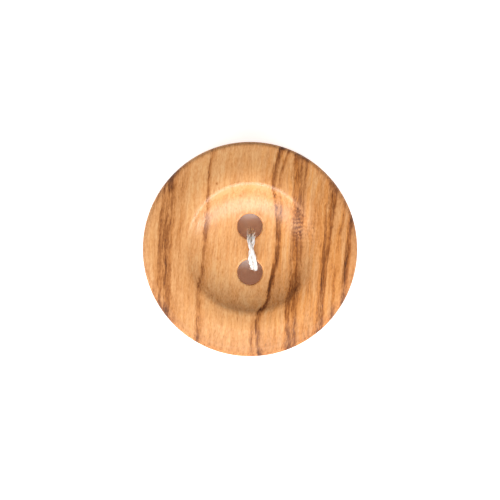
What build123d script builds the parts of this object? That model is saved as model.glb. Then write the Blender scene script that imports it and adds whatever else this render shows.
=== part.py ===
from build123d import *
import os
from math import asin, degrees, pi, radians, sin, tan

# Turned wooden sew-on button with the doubled thread tied through its two holes. The origin
# is at the centre of the flat back face, +Z points out of the dished front and Y runs along
# the line of the two holes.

os.makedirs("parts", exist_ok=True)

# Disc, mm
disc_diameter = 28.0
floor_height = 3.25  # flat middle of the dish, above the back face
floor_radius = 2.75
dish_radius = 8.6  # of the arc that climbs from the floor to the ridge
dish_slope = 38.5  # degrees, where the dish meets the ridge
ridge_radius = 1.5  # rounding at the lip of the dish
crown_slope = 11.0  # degrees, where that rounding runs into the broader crown of the ridge
crown_radius = 5.1
rim_slope_inner = 10.0  # degrees down, just outside the crown
rim_slope_outer = 11.5  # degrees down, at the outer edge
front_edge_radius = 0.7
back_edge_radius = 2.0
hollow_depth = 1.7  # shallow dish turned into the back
hollow_radius = 7.4
hollow_lip_radius = 0.3

# Sewing holes, mm
hole_diameter = 3.3
hole_spacing = 6.0
hole_front_rounding = 0.25
hole_back_rounding = 0.2

# Thread, mm
strand_diameter = 0.42
strand_offset = 0.33  # of each strand from the middle of the pair, at the holes
strand_leg = 1.62  # of the strands' straight legs from the middle of the button
strand_clearance = 0.05  # between the lower strand and the floor of the dish
bridge_height = floor_height + strand_diameter / 2 + strand_clearance
bridge_corner_radius = 0.5  # where the lower strand bends over the edge of a hole
upper_lift = 0.05  # of the upper strand's corners above the lower strand's
upper_corner_radius = 0.88
crossing_height = bridge_height + 0.65  # corner that the upper strand's arc passes under
crossing_radius = 2.0

# Behind the web each leg bellies out and turns in to the knot: (Y, Z, corner radius), mm
entry_height = 0.45
leg_foot = (strand_leg, 1.25, 0.9)
leg_belly = (1.80, 0.86, 0.42)
leg_turn = (1.58, entry_height, 0.42)

knot_size = (1.7, 1.9, 1.15)
knot_base = 0.10  # height of the knot's underside above the back face
knot_rounding = 0.14
tail_height = knot_base + knot_size[2] / 2

size_tolerance = 0.01  # for finding an edge or a face by its size


def arc_radii(points):
    """The largest tangent arcs for a route: 0.45 of the shorter run at each corner."""
    radii = []
    for before, corner, after in zip(points, points[1:], points[2:]):
        run_in = Vector(*corner) - Vector(*before)
        run_out = Vector(*after) - Vector(*corner)
        half_turn = radians(run_in.get_angle(run_out)) / 2
        radii.append(0.45 * min(run_in.length, run_out.length) / tan(half_turn))
    return radii


def report_tube(name, tube, route, radii):
    """Print a tube's radii, and its volume beside its section times its length."""
    expected = pi * strand_diameter**2 / 4 * route.length
    print(f"{name}: radii {[round(r, 2) for r in radii]} mm, length {route.length:.2f} mm, "
          f"volume {tube.volume:.4f} of {expected:.4f} mm3")


def hole_mouths(builder, chosen):
    """The rim edges of the sewing holes that the chosen test keeps."""
    walls = builder.faces().filter_by(GeomType.CYLINDER).filter_by(
        lambda face: abs(face.radius - hole_diameter / 2) < size_tolerance
    )
    return walls.edges().filter_by(GeomType.LINE, reverse=True).filter_by(chosen)


# ---- Disc: half the section, turned about Z -------------------------------------------
outer_radius = disc_diameter / 2
back_arc_radius = (hollow_radius**2 + hollow_depth**2) / (2 * hollow_depth)
back_arc_angle = degrees(asin(hollow_radius / back_arc_radius))

ridge_start = floor_radius + dish_radius * sin(radians(dish_slope))
crown_start = ridge_start + ridge_radius * (sin(radians(dish_slope)) - sin(radians(crown_slope)))
crown_end = crown_start + crown_radius * (sin(radians(crown_slope)) + sin(radians(rim_slope_inner)))
rim_end = outer_radius - front_edge_radius * (1 - sin(radians(rim_slope_outer)))
rim_radius = (rim_end - crown_end) / (sin(radians(rim_slope_outer)) - sin(radians(rim_slope_inner)))

with BuildPart() as button_disc:
    with BuildSketch(Plane.XZ):
        with BuildLine():
            floor = Line((0, floor_height), (floor_radius, floor_height))
            dish = JernArc(floor @ 1, floor % 1, dish_radius, dish_slope)
            ridge = JernArc(dish @ 1, dish % 1, ridge_radius, crown_slope - dish_slope)
            crown = JernArc(ridge @ 1, ridge % 1, crown_radius, -crown_slope - rim_slope_inner)
            rim = JernArc(crown @ 1, crown % 1, rim_radius, rim_slope_inner - rim_slope_outer)
            front_edge = JernArc(rim @ 1, rim % 1, front_edge_radius, rim_slope_outer - 90)
            side = Line(front_edge @ 1, (outer_radius, back_edge_radius))
            back_edge = JernArc(side @ 1, side % 1, back_edge_radius, -90)
            Line(back_edge @ 1, (hollow_radius, 0))
            hollow = CenterArc(
                (0, hollow_depth - back_arc_radius),
                back_arc_radius,
                90 - back_arc_angle,
                back_arc_angle,
            )
            Line(hollow @ 1, floor @ 0)
        make_face()
    revolve(axis=Axis.Z)

    back_edges = button_disc.faces().sort_by(Axis.Z).first.edges().filter_by(GeomType.CIRCLE)
    fillet(back_edges.sort_by(SortBy.RADIUS).first, hollow_lip_radius)

    with GridLocations(0, hole_spacing, 1, 2):
        Hole(hole_diameter / 2)
    middle_height = (floor_height + hollow_depth) / 2
    fillet(hole_mouths(button_disc, lambda edge: edge.center().Z > middle_height), hole_front_rounding)
    fillet(hole_mouths(button_disc, lambda edge: edge.center().Z < middle_height), hole_back_rounding)

button_disc.part.label = "button_disc"
export_step(button_disc.part, "parts/button_disc.step")

# ---- Knot: the tied crossing behind the web --------------------------------------------
knot_width, knot_length, knot_height = knot_size
with BuildPart() as thread_knot:
    with BuildSketch(Plane.XY.offset(knot_base)):
        RectangleRounded(knot_width, knot_length, 2 * knot_rounding)
    extrude(amount=knot_height)
    fillet(thread_knot.faces().filter_by(Axis.Z).edges(), knot_rounding)

thread_knot.part.label = "thread_knot"
export_step(thread_knot.part, "parts/thread_knot.step")

# ---- Two strands: up one hole, across the bridge, down the other ------------------------
half_knot = knot_length / 2


def strand_tube(side, height, bend_radius, hump, hump_radii):
    """One strand's corners and their radii: side is -1 or 1 at the first hole."""
    x = side * strand_offset
    leg = [leg_turn, leg_belly, leg_foot]
    up = [(x, y, z) for y, z, radius in leg]
    down = [(-x, -y, z) for y, z, radius in reversed(leg)]
    bends = [radius for y, z, radius in leg]
    points = [
        (x, half_knot, entry_height),
        *up,
        (x, strand_leg, height),
        *hump,
        (-x, -strand_leg, height),
        *down,
        (-x, -half_knot, entry_height),
    ]
    return points, [*bends, bend_radius, *hump_radii, bend_radius, *reversed(bends)]


top = (0, 0, crossing_height)
tubes = {
    "thread_strand_over": strand_tube(
        -1, bridge_height + upper_lift, upper_corner_radius, [top], [crossing_radius]
    ),
    "thread_strand_under": strand_tube(1, bridge_height, bridge_corner_radius, [], []),
}

# ---- Four cut ends, lying in the hollow of the back -------------------------------------
tail_side = knot_width / 2
tail_pitch = 0.26  # of the two ends on each side of the knot, from its middle
tails = {
    "thread_tail_1": [
        (tail_side, tail_pitch, tail_height),
        (1.6, tail_pitch, tail_height),
        (2.5, 0.8, 0.42),
        (3.35, 1.85, 0.3),
    ],
    "thread_tail_2": [
        (tail_side, -tail_pitch, tail_height),
        (1.75, -tail_pitch, tail_height),
        (2.85, -0.65, 0.38),
        (3.9, -0.3, 0.28),
    ],
    "thread_tail_3": [
        (-tail_side, tail_pitch, tail_height),
        (-1.75, tail_pitch, tail_height),
        (-2.75, 0.6, 0.4),
        (-3.75, 0.35, 0.29),
    ],
    "thread_tail_4": [
        (-tail_side, -tail_pitch, tail_height),
        (-1.55, -tail_pitch, tail_height),
        (-2.35, -0.85, 0.44),
        (-2.85, -1.9, 0.31),
    ],
}
for name, points in tails.items():
    tubes[name] = (points, arc_radii(points))

for name, (points, radii) in tubes.items():
    with BuildPart() as tube:
        with BuildLine() as route:
            FilletPolyline(*points, radius=radii)
        with BuildSketch(Plane(origin=route.wire() @ 0, z_dir=route.wire() % 0)):
            Circle(strand_diameter / 2)
        sweep(path=route.wire())
    tube.part.label = name
    export_step(tube.part, f"parts/{name}.step")
    report_tube(name, tube.part, route.wire(), radii)
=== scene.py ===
from math import cos, radians, sin, tau

import bpy
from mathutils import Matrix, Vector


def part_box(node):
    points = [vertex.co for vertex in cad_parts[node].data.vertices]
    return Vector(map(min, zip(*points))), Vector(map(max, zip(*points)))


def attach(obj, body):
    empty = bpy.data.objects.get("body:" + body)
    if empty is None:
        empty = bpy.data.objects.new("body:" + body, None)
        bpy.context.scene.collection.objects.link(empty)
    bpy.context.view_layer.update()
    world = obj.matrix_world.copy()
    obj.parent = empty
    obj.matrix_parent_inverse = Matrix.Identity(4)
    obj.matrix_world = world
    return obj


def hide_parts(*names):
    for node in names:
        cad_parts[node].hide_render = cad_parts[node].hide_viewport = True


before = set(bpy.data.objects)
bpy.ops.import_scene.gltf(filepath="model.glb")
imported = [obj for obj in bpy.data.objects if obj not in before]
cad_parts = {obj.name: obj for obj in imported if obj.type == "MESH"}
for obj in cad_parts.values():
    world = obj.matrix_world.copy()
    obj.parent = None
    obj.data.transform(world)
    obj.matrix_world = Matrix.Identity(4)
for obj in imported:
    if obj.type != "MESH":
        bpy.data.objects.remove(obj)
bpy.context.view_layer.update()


# ---- The button disc ------------------------------------------------------------------
# One slice of streaky fruitwood, turned on a lathe with a dished face and a crowned rim,
# drilled with two sewing holes, rubbed smooth and oiled. The grain runs along Y and its
# growth layers lean, so the dark streaks step sideways where the dish cuts through them.
mm = 0.001  # in metres: sizes that aren't multiplied by it are in mm
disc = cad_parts["button_disc"]
disc_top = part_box("button_disc")[1].z / mm


def feed(tree, socket, value):
    """Give a socket its number or colour, or link it to the socket its value comes from."""
    if isinstance(value, bpy.types.NodeSocket):
        tree.links.new(value, socket)
    else:
        socket.default_value = value


def calc(tree, operation, *values):
    """A maths node: each value is a number or the socket it comes from."""
    node = tree.nodes.new("ShaderNodeMath")
    node.operation = operation
    for socket, value in zip(node.inputs, values):
        feed(tree, socket, value)
    return node.outputs[0]


def total(tree, *values):
    """The sum of several sockets or numbers."""
    result = values[0]
    for value in values[1:]:
        result = calc(tree, "ADD", result, value)
    return result


def times(tree, *values):
    """The product of several sockets or numbers."""
    result = values[0]
    for value in values[1:]:
        result = calc(tree, "MULTIPLY", result, value)
    return result


def ease(tree, value, start, end, low=0.0, high=1.0):
    """Low before start, high after end, and a smooth change between them."""
    node = tree.nodes.new("ShaderNodeMapRange")
    node.interpolation_type = "SMOOTHSTEP"
    tree.links.new(value, node.inputs["Value"])
    node.inputs["From Min"].default_value = start
    node.inputs["From Max"].default_value = end
    node.inputs["To Min"].default_value = low
    node.inputs["To Max"].default_value = high
    return node.outputs["Result"]


def place(tree, x, y, z):
    """A point made of three sockets or numbers."""
    node = tree.nodes.new("ShaderNodeCombineXYZ")
    for socket, value in zip(node.inputs, (x, y, z)):
        feed(tree, socket, value)
    return node.outputs[0]


def noise(tree, point, detail=2.0, roughness=0.5):
    """Smooth noise from 0 to 1, one lump to each unit of the point."""
    node = tree.nodes.new("ShaderNodeTexNoise")
    node.inputs["Scale"].default_value = 1.0
    node.inputs["Detail"].default_value = detail
    node.inputs["Roughness"].default_value = roughness
    tree.links.new(point, node.inputs["Vector"])
    return node.outputs["Fac"]


def blend(tree, factor, first, second, mode="MIX"):
    """Two colours mixed: each is a colour or the socket it comes from."""
    node = tree.nodes.new("ShaderNodeMix")
    node.data_type = "RGBA"
    node.blend_type = mode
    for name, value in (("Factor", factor), ("A", first), ("B", second)):
        feed(tree, next(s for s in node.inputs if s.name == name and s.enabled), value)
    return next(s for s in node.outputs if s.enabled)


def ramp(tree, value, stops):
    """A run of colours: each stop is a place from 0 to 1 and its colour."""
    node = tree.nodes.new("ShaderNodeValToRGB")
    while len(node.color_ramp.elements) < len(stops):
        node.color_ramp.elements.new(1.0)
    for element, (at, colour) in zip(node.color_ramp.elements, stops):
        element.position = at
        element.color = (*colour, 1)
    tree.links.new(value, node.inputs["Fac"])
    return node.outputs["Color"]


wood = bpy.data.materials.new("oiled_streaky_wood")
wood.use_nodes = True
tree = wood.node_tree
surface = tree.nodes["Principled BSDF"]

coordinates = tree.nodes.new("ShaderNodeTexCoord")
to_mm = tree.nodes.new("ShaderNodeMapping")
to_mm.inputs["Scale"].default_value = (1 / mm, 1 / mm, 1 / mm)
tree.links.new(coordinates.outputs["Object"], to_mm.inputs["Vector"])
split = tree.nodes.new("ShaderNodeSeparateXYZ")
tree.links.new(to_mm.outputs["Vector"], split.inputs["Vector"])
x, y, z = split.outputs
depth = calc(tree, "SUBTRACT", z, disc_top)
from_axis = calc(tree, "SQRT", total(tree, calc(tree, "POWER", x, 2.0), calc(tree, "POWER", y, 2.0)))


def centred(waves, swing):
    """Noise shifted to lie evenly either side of nothing. Swing is its whole range."""
    return times(tree, calc(tree, "SUBTRACT", waves, 0.5), swing)


def apart(value, middle, reach):
    """The square of how many reaches a value lies from its middle."""
    return calc(tree, "POWER", calc(tree, "DIVIDE", calc(tree, "SUBTRACT", value, middle), reach), 2.0)


def fade(square):
    """1 in the middle, and a bell-shaped fade as the square grows."""
    return calc(tree, "EXPONENT", times(tree, square, -1.0))


def swirl(at_x, at_y, reach_x, reach_y, push):
    """A push that is strongest at one place on the face and fades away round it."""
    return times(tree, fade(total(tree, apart(x, at_x, reach_x), apart(y, at_y, reach_y))), push)


def wander(to_each_x, to_each_y, shift, swing):
    """A sideways drift: its lumps to each mm of x and y, and how many mm it swings in all."""
    point = place(tree, times(tree, x, to_each_x), times(tree, y, to_each_y), shift)
    return centred(noise(tree, point), swing)


# The fibres wander from side to side along their length, and are pushed aside at two places.
slow_wander = wander(0.22, 0.15, 3.7, 0.9)
quick_wander = wander(1.1, 0.7, 9.1, 0.28)
across = total(
    tree, x, slow_wander, quick_wander,
    swirl(1.9, -6.8, 1.3, 1.1, -0.45),
    swirl(6.2, 2.4, 2.0, 2.2, 0.35),
)
grain_lean = 0.08  # sideways for each mm along
layer_thickness = 1.5  # of a lump, for each mm of its width


def fibre(width, length, detail=2.0, roughness=0.5, shift=0.0):
    """Noise drawn out along the grain: width and length of one lump, in mm."""
    lay = calc(tree, "SUBTRACT", across, times(tree, y, grain_lean))
    point = place(
        tree,
        calc(tree, "DIVIDE", lay, width),
        calc(tree, "DIVIDE", y, length),
        total(tree, calc(tree, "DIVIDE", z, width * layer_thickness), shift),
    )
    return noise(tree, point, detail, roughness)


bands = fibre(1.9, 26.0)
lines = fibre(0.36, 7.0, roughness=0.6, shift=5.0)
hairs = fibre(0.14, 1.9, roughness=0.65, shift=11.0)
specks = fibre(0.17, 0.45, detail=1.0, roughness=0.6, shift=29.0)
pores = ease(tree, fibre(0.10, 0.8, detail=0.0, shift=17.0), 0.66, 0.78)
ragged = total(tree, centred(lines, 0.80), centred(hairs, 0.74))
raggedness = 0.35  # of a streak's sides, in mm
patch_rate = 0.26  # paler patches in a streak, for each mm along


def streak(at, lean, bow, tilt, left, right, strength, patch):
    """One dark growth layer, in mm: at is where it crosses the middle of the face, lean and
    bow carry it along y, tilt takes it aside as the face drops, and left and right are how
    far it fades on each side. Patch picks where it is paler along its length."""
    middle = times(tree, y, total(tree, times(tree, y, bow), lean))
    off = calc(tree, "SUBTRACT", across, total(tree, middle, at))
    off = total(tree, off, times(tree, depth, tilt), times(tree, ragged, raggedness))
    before = calc(tree, "DIVIDE", calc(tree, "MINIMUM", off, 0.0), left)
    after = calc(tree, "DIVIDE", calc(tree, "MAXIMUM", off, 0.0), right)
    bell = fade(calc(tree, "POWER", total(tree, before, after), 2.0))
    patches = noise(tree, place(tree, patch, times(tree, y, patch_rate), at), roughness=0.6)
    return times(tree, bell, ease(tree, patches, 0.34, 0.58, low=0.60), strength)


# at, lean, bow, tilt, left, right, strength, patch
growth_layers = [
    (-12.6, 0.02, 0.006, 0.2, 0.4, 0.6, 0.10, 2.0),
    (-11.85, 0.05, 0.004, 0.2, 0.24, 0.28, 0.34, 17.0),
    (-10.95, 0.05, 0.004, 0.2, 0.62, 0.50, 0.54, 1.0),
    (-10.3, 0.05, 0.004, 0.2, 0.20, 0.25, 0.14, 14.0),
    (-9.3, 0.07, 0.0, 0.2, 0.8, 0.5, 0.16, 10.0),
    (-6.10, 0.073, 0.0, 0.05, 0.20, 0.45, 0.44, 3.0),
    (1.88, 0.116, 0.0011, 0.66, 0.20, 0.55, 0.66, 4.0),
    (2.25, 0.19, 0.0, 0.66, 0.20, 0.22, 0.32, 15.0),
    (3.6, 0.12, 0.0, 0.3, 0.6, 0.5, 0.06, 11.0),
    (5.25, 0.06, 0.0, 0.2, 0.24, 0.40, 0.28, 6.0),
    (6.05, 0.07, -0.001, 0.2, 0.72, 0.58, 0.34, 5.0),
    (6.60, 0.07, -0.001, 0.2, 0.18, 0.14, 0.22, 18.0),
    (8.2, 0.10, 0.001, 0.2, 0.5, 0.4, 0.06, 9.0),
    (9.5, 0.11, 0.001, 0.2, 0.25, 0.45, 0.33, 12.0),
    (10.25, 0.125, 0.001, 0.2, 0.50, 0.18, 0.47, 7.0),
    (11.5, 0.12, 0.0, 0.2, 0.3, 0.3, 0.28, 13.0),
    (12.7, 0.11, 0.0, 0.2, 0.30, 0.32, 0.70, 8.0),
]
streaked = total(tree, *[streak(*layer) for layer in growth_layers])
dark_bands = ease(tree, bands, 0.34, 0.66, high=0.11)
dark_pores = times(tree, pores, 0.14)
dark_specks = centred(specks, 0.46)
ragged_between = 0.66
ragged_in_streaks = 1.3
uneven = times(tree, ragged, total(tree, times(tree, streaked, ragged_in_streaks), ragged_between))

# A patch of curly figure crosses the grain in fine ripples, and one pin knot sits on the rim.
ripple_pitch = 0.52
line_waver = 9.0  # radians that a ripple shifts from the palest line to the darkest
wander_waver = 34.0  # radians for each mm of the quick wander
rippling = total(
    tree,
    times(tree, y, tau / ripple_pitch),
    times(tree, lines, line_waver),
    times(tree, quick_wander, wander_waver),
)
ripples = total(tree, times(tree, calc(tree, "SINE", rippling), 0.5), 0.5)
figured = total(tree, swirl(6.2, 3.0, 0.9, 1.9, 0.30), swirl(8.2, 1.8, 1.5, 3.2, 0.07))
curly = times(tree, figured, ripples, ease(tree, bands, 0.3, 0.6, low=0.5, high=1.2))
pin_knot = swirl(-4.3, 8.5, 0.16, 0.20, 0.55)

# The wood is paler in a patch low in the floor, and duskier to the right and in a patch low
# on the dish wall. A painted highlight lightens the upper side of the lip of the dish, and
# painted shade darkens the rim nearest the lamp and the outer edge.
palest = 0.10
lip_radius = 8.15
lip_width = 0.36
lip = fade(apart(from_axis, lip_radius, lip_width))
# Painted highlight: the lip is made paler only on its upper side, where the lamp's highlight falls.
painted_lip_highlight = times(tree, lip, ease(tree, y, 4.0, 7.5, high=-0.17))
pale_floor = swirl(-1.9, -3.3, 2.0, 2.0, -0.14)
dusky_right = ease(tree, x, 0.0, 14.0, high=0.07)
dusky_wall = swirl(4.5, -5.7, 1.6, 2.0, 0.13)
# Painted shade: the rim nearest the lamp is darkened.
painted_rim_shade = ease(tree, y, -13.6, -9.0, low=0.10, high=0.0)
# Painted shade: the rolled outer edge is darkened all round.
painted_edge_shade = ease(tree, from_axis, 13.1, 13.9, high=0.15)
darkness = total(
    tree, palest,
    streaked, uneven, dark_bands, dark_pores, dark_specks, curly, pin_knot,
    painted_lip_highlight, pale_floor, dusky_right, dusky_wall, painted_rim_shade, painted_edge_shade,
)
wood_tones = [
    (0.0, (0.83, 0.465, 0.205)),
    (0.17, (0.745, 0.363, 0.143)),
    (0.38, (0.60, 0.255, 0.085)),
    (0.62, (0.37, 0.135, 0.040)),
    (0.85, (0.215, 0.072, 0.021)),
    (1.0, (0.13, 0.042, 0.014)),
]
amber = (1.03, 0.90, 0.66, 1)
amber_bands = ease(tree, fibre(0.55, 11.0, detail=3.0, roughness=0.6, shift=23.0), 0.44, 0.60)
amber_share = times(tree, amber_bands, ease(tree, x, -2.0, 8.0, low=0.28, high=0.8))
colour = blend(tree, amber_share, ramp(tree, darkness, wood_tones), amber, "MULTIPLY")
tree.links.new(colour, surface.inputs["Base Color"])

# The rubbed oil leaves a satin face, duller in the pores, in the curly figure and at the edge.
satin = 0.19
dull_hairs = times(tree, hairs, 0.12)
dull_pores = times(tree, pores, 0.2)
dull_edge = ease(tree, from_axis, 12.8, 13.4, high=0.34)
dull_figure = swirl(7.0, 4.8, 2.0, 2.6, 0.28)
rough = total(tree, satin, dull_hairs, dull_pores, dull_edge, dull_figure)
tree.links.new(rough, surface.inputs["Roughness"])
surface.inputs["Specular IOR Level"].default_value = 0.38

bump = tree.nodes.new("ShaderNodeBump")
bump.inputs["Strength"].default_value = 0.35
bump.inputs["Distance"].default_value = 0.02 * mm
hair_height = 0.5  # of a pore's depth
relief = calc(tree, "SUBTRACT", times(tree, hairs, hair_height), pores)
tree.links.new(relief, bump.inputs["Height"])
tree.links.new(bump.outputs["Normal"], surface.inputs["Normal"])

disc.data.materials.clear()
disc.data.materials.append(wood)


# ---- The doubled thread: two strands over the bridge between the holes -----------------
# White sewing thread of three silky plies. It comes up one hole, crosses its partner on the
# bridge and goes down the other; both strands stand a little proud of the wood.
strand_radius = 0.285
plies = 3
ply_radius = 0.152
ply_circle = strand_radius - ply_radius  # on which the middles of the plies lie
ply_pitch = 2.7  # of one full turn of the twist
drawn_share = 0.15  # of a strand's length, at each end, that is drawn thinner
drawn_thin = 0.24  # lost from its thickness at the knot
steps_between_points = 14

over_route = [
    (-0.21, 0.78, 0.68), (-0.25, 1.45, 0.47), (-0.20, 2.20, 0.64), (-0.14, 2.66, 1.25),
    (-0.14, 2.42, 2.10), (-0.14, 1.97, 2.90), (-0.15, 1.58, 3.57), (-0.08, 0.85, 3.98),
    (0.08, 0.26, 4.14), (0.28, -0.30, 4.12), (0.47, -0.85, 3.94), (0.60, -1.45, 3.62),
    (0.68, -1.98, 2.97), (0.74, -2.52, 2.25), (0.74, -2.74, 1.30), (0.60, -2.25, 0.62),
    (0.34, -1.45, 0.47), (0.21, -0.78, 0.68),
]
under_route = [
    (0.21, 0.78, 0.68), (0.30, 1.45, 0.47), (0.36, 2.20, 0.64), (0.38, 2.60, 1.30),
    (0.42, 2.36, 2.15), (0.44, 1.98, 2.87), (0.44, 1.60, 3.46), (0.38, 0.95, 3.60),
    (0.28, 0.35, 3.60), (0.12, -0.25, 3.60), (0.01, -0.85, 3.60), (0.02, -1.54, 3.48),
    (0.14, -1.96, 2.85), (0.30, -2.42, 2.10), (0.30, -2.58, 1.25), (0.12, -2.25, 0.62),
    (-0.16, -1.45, 0.47), (-0.21, -0.78, 0.68),
]


def lie(route):
    """The smooth line of a thread that is led past these points, in metres."""
    guide = bpy.data.curves.new("guide", "CURVE")
    guide.dimensions = "3D"
    guide.resolution_u = steps_between_points
    spline = guide.splines.new("NURBS")
    spline.points.add(len(route) - 1)
    for point, at in zip(spline.points, route):
        point.co = (*[value * mm for value in at], 1)
    spline.order_u = 3
    spline.use_endpoint_u = True
    holder = bpy.data.objects.new("guide", guide)
    mesh = bpy.data.meshes.new_from_object(holder)
    line = [vertex.co.copy() for vertex in mesh.vertices]
    bpy.data.objects.remove(holder)
    bpy.data.curves.remove(guide)
    bpy.data.meshes.remove(mesh)
    return line


def carried_frames(line):
    """At each point of a line, two directions square to it that don't spin."""
    side = (line[1] - line[0]).orthogonal().normalized()
    frames = []
    for i, point in enumerate(line):
        ahead = (line[min(i + 1, len(line) - 1)] - line[max(i - 1, 0)]).normalized()
        side = (side - ahead * side.dot(ahead)).normalized()
        frames.append((side, ahead.cross(side)))
    return frames


open_share = 0.2  # of a cut end's length, over which its plies come apart
open_thin = 0.45  # lost from each ply's thickness at the cut


def twist_plies(name, line, circle, radius, pitch, start, splay=0.0, pulled=0.0):
    """Plies laid up round a line and made into one mesh. Splay opens the last stretch, and
    pulled is how much thinner the thread is at both ends, where it is drawn tight."""
    curve = bpy.data.curves.new(name, "CURVE")
    curve.dimensions = "3D"
    curve.bevel_depth = radius * mm
    curve.bevel_resolution = 3
    curve.use_fill_caps = True
    frames = carried_frames(line)
    for ply in range(plies):
        spline = curve.splines.new("POLY")
        spline.points.add(len(line) - 1)
        run = 0.0
        for i, (point, (side, up)) in enumerate(zip(line, frames)):
            if i:
                run += (point - line[i - 1]).length
            angle = start + tau * (ply / plies + run / (pitch * mm))
            part = i / (len(line) - 1)
            opened = max(0.0, part - 1 + open_share) / open_share if splay else 0.0
            tight = 1 - pulled * max(0.0, 1 - min(part, 1 - part) / drawn_share)
            reach = circle * mm * (1 + splay * opened) * tight
            at = point + (side * cos(angle) + up * sin(angle)) * reach
            spline.points[i].co = (*at, 1)
            spline.points[i].radius = (1 - open_thin * opened) * tight
    piece = bpy.data.objects.new(name, curve)
    bpy.context.scene.collection.objects.link(piece)
    bpy.ops.object.select_all(action="DESELECT")
    piece.select_set(True)
    bpy.context.view_layer.objects.active = piece
    bpy.ops.object.convert(target="MESH")
    bpy.ops.object.shade_smooth()
    return bpy.context.object


thread = bpy.data.materials.new("silky_white_thread")
thread.use_nodes = True
tree = thread.node_tree
surface = tree.nodes["Principled BSDF"]
along = tree.nodes.new("ShaderNodeUVMap")
along.uv_map = "UVMap"
fibres = tree.nodes.new("ShaderNodeMapping")
filament_slant = radians(8)
fibres.inputs["Rotation"].default_value = (0, 0, filament_slant)
fibres.inputs["Scale"].default_value = (20, 14, 1)
tree.links.new(along.outputs["UV"], fibres.inputs["Vector"])
filaments = noise(tree, fibres.outputs["Vector"], 3.0, 0.6)
grey_white = (0.80, 0.76, 0.72, 1)
clear_white = (0.93, 0.91, 0.89, 1)
white = blend(tree, ease(tree, filaments, 0.3, 0.7), grey_white, clear_white)
tree.links.new(white, surface.inputs["Base Color"])
surface.inputs["Roughness"].default_value = 0.42
surface.inputs["Sheen Weight"].default_value = 0.25
surface.inputs["Sheen Roughness"].default_value = 0.35
surface.inputs["Subsurface Weight"].default_value = 0.15
surface.inputs["Subsurface Radius"].default_value = (0.12 * mm, 0.10 * mm, 0.09 * mm)
bump = tree.nodes.new("ShaderNodeBump")
bump.inputs["Strength"].default_value = 0.4
bump.inputs["Distance"].default_value = 0.012 * mm
tree.links.new(filaments, bump.inputs["Height"])
tree.links.new(bump.outputs["Normal"], surface.inputs["Normal"])


def tie_in(piece, node):
    """A piece of thread takes its finish, its body and the CAD solid it stands for."""
    piece.data.materials.clear()
    piece.data.materials.append(thread)
    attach(piece, "thread_tie")
    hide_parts(node)


for name, route, start in (("over", over_route, 0.4), ("under", under_route, 1.3)):
    strand = twist_plies(
        f"strand_{name}", lie(route), ply_circle, ply_radius, ply_pitch, start, pulled=drawn_thin
    )
    tie_in(strand, f"thread_strand_{name}")


# ---- The knot behind the bridge ---------------------------------------------------------
# The two pairs of ends of the same white thread are tied in a square knot and pulled tight:
# each pair makes a bight whose bend wraps the legs of the other.
knot_height = 0.675  # of its middle above the back face
knot_rope = 0.42  # thickness of the thread as it packs in the knot
bight_ply_circle = 0.102
bight_ply_radius = 0.122
bight_pitch = 2.2
bight_start = 0.7  # angle of the first ply where the bight begins
half_bight = [
    (0.50, 2.30, -0.15), (0.50, 1.80, 0.0), (0.60, 1.00, 0.10), (0.92, 0.25, -0.35),
    (1.36, -0.45, -0.30), (1.34, -1.10, 0.50), (0.72, -1.42, 0.95),
]
bend = (0.0, -1.48, 1.0)
bight = [*half_bight, bend, *[(-px, py, pz) for px, py, pz in reversed(half_bight)]]


def knot_place(point, turned):
    """A point of the bight, in thread thicknesses, put in the knot; turned for the other bight."""
    px, py, pz = point
    if turned:
        py, pz = -py, -pz
    return (px * knot_rope, py * knot_rope, knot_height + pz * knot_rope)


bights = []
for turned in (False, True):
    line = lie([knot_place(point, turned) for point in bight])
    bights.append(
        twist_plies("knot_bight", line, bight_ply_circle, bight_ply_radius, bight_pitch, bight_start)
    )
bpy.ops.object.select_all(action="DESELECT")
for piece in bights:
    piece.select_set(True)
bpy.context.view_layer.objects.active = bights[0]
bpy.ops.object.join()
knot = bpy.context.object
knot.name = "square_knot"
tie_in(knot, "thread_knot")


# ---- The four cut ends -------------------------------------------------------------------
# The two ends of each strand of the white thread are snipped a few millimetres past the knot.
# They lie in the hollow of the back, their plies opening where the scissors cut them.
cut_ends = {
    "thread_tail_1": [
        (0.19, -0.70, 0.66), (0.60, -0.80, 0.62), (1.10, -0.20, 0.58), (1.70, 0.30, 0.52),
        (2.50, 0.80, 0.42), (3.35, 1.85, 0.30),
    ],
    "thread_tail_2": [
        (0.19, -0.66, 0.50), (0.75, -0.72, 0.48), (1.50, -0.45, 0.46), (2.20, -0.50, 0.42),
        (2.90, -0.62, 0.36), (3.90, -0.30, 0.31),
    ],
    "thread_tail_3": [
        (-0.19, 0.66, 0.66), (-0.70, 0.72, 0.62), (-1.30, 0.40, 0.56), (-2.00, 0.42, 0.48),
        (-2.80, 0.60, 0.40), (-3.75, 0.35, 0.31),
    ],
    "thread_tail_4": [
        (-0.19, 0.70, 0.50), (-0.65, 0.80, 0.46), (-1.15, 0.10, 0.45), (-1.60, -0.35, 0.44),
        (-2.30, -0.90, 0.42), (-2.85, -1.90, 0.32),
    ],
}
cut_splay = 0.8  # how much wider the plies stand at the cut
for number, (node, route) in enumerate(cut_ends.items(), start=1):
    tail = twist_plies(
        f"cut_end_{number}", lie(route), ply_circle, ply_radius, ply_pitch, number, cut_splay
    )
    tie_in(tail, node)
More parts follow.
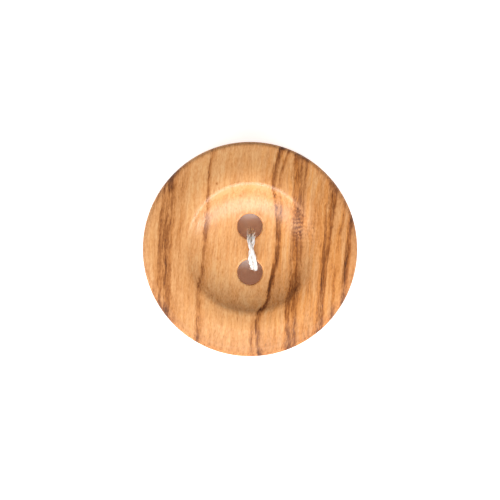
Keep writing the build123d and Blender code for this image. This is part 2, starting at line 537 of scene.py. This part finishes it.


# ---- Floor and light ----------------------------------------------------------------------
# A white floor that glows with painted light: dim and brown right under the button, a
# painted brown shade seen through the holes, and bright past the rim, where the painted glow
# washes out the button's cast shadow. One long strip lamp hangs across the bench on its near
# side. A little light comes from the room.
floor_size = 6.0
floor_drop = 0.01 * mm
shade_from = 10.5 * mm
shade_to = 15.2 * mm
glow_in_shade = 0.21
glow_outside = 0.86
warm_from = 6 * mm
warm_to = 9.5 * mm
bpy.ops.object.select_all(action="DESELECT")
bpy.ops.mesh.primitive_plane_add(size=floor_size, location=(0, 0, -floor_drop))
floor = bpy.context.object
floor.name = "glowing_floor"
glowing_floor_finish = bpy.data.materials.new("painted_glow_floor")
glowing_floor_finish.use_nodes = True
tree = glowing_floor_finish.node_tree
surface = tree.nodes["Principled BSDF"]
surface.inputs["Base Color"].default_value = (0.86, 0.86, 0.85, 1)
surface.inputs["Roughness"].default_value = 0.9
coordinates = tree.nodes.new("ShaderNodeTexCoord")
from_middle = tree.nodes.new("ShaderNodeVectorMath")
from_middle.operation = "LENGTH"
tree.links.new(coordinates.outputs["Object"], from_middle.inputs[0])
distance = from_middle.outputs["Value"]
# Painted light: the floor's glow is dim under the button and rises past its rim, washing out its cast
# shadow.
painted_floor_glow = ease(tree, distance, shade_from, shade_to, glow_in_shade, glow_outside)
tree.links.new(painted_floor_glow, surface.inputs["Emission Strength"])
# Painted shade: the glow under the button is dim brown, seen through the holes.
painted_brown_shade = (0.62, 0.30, 0.19, 1)
painted_shade_tint = blend(tree, ease(tree, distance, warm_from, warm_to), painted_brown_shade, (1, 1, 1, 1))
tree.links.new(painted_shade_tint, surface.inputs["Emission Color"])
floor.data.materials.append(glowing_floor_finish)

lamp_tilt = radians(40)
lamp_distance = 0.5
lamp_data = bpy.data.lights.new("strip_lamp", "AREA")
lamp_data.shape = "RECTANGLE"
lamp_data.size = 1.6
lamp_data.size_y = 0.20
lamp_data.energy = 7.8
lamp = bpy.data.objects.new("strip_lamp", lamp_data)
lamp.location = (0, -lamp_distance * sin(lamp_tilt), lamp_distance * cos(lamp_tilt))
lamp.rotation_euler = (lamp_tilt, 0, 0)
bpy.context.scene.collection.objects.link(lamp)

room_light = 0.09
backdrop_light = 1.0  # that the camera sees past the table
room = bpy.data.worlds.new("room")
bpy.context.scene.world = room
room.use_nodes = True
tree = room.node_tree
paths = tree.nodes.new("ShaderNodeLightPath")
strength = ease(tree, paths.outputs["Is Camera Ray"], 0.0, 1.0, room_light, backdrop_light)
tree.nodes["Background"].inputs["Color"].default_value = (1, 1, 1, 1)
tree.links.new(strength, tree.nodes["Background"].inputs["Strength"])


# ---- Camera ---------------------------------------------------------------------------------
# It looks straight down on to the face of the button, through a long lens from a good
# third of a metre above it, so the rim hardly spreads.
lens = 200.0
sensor = 36.0
frame_width = 65.4 * mm
framed_height = 3.2 * mm  # the level at which the frame is that wide
camera_distance = frame_width * lens / sensor
camera_drop = 0.12 * mm

camera_data = bpy.data.cameras.new("camera")
camera_data.lens = lens
camera_data.sensor_width = sensor
camera_data.clip_start = 10 * mm
camera_data.clip_end = 10.0
camera = bpy.data.objects.new("camera", camera_data)
camera.location = (0, -camera_drop, framed_height + camera_distance)
bpy.context.scene.collection.objects.link(camera)
bpy.context.scene.camera = camera
bpy.context.scene.view_settings.view_transform = "Standard"
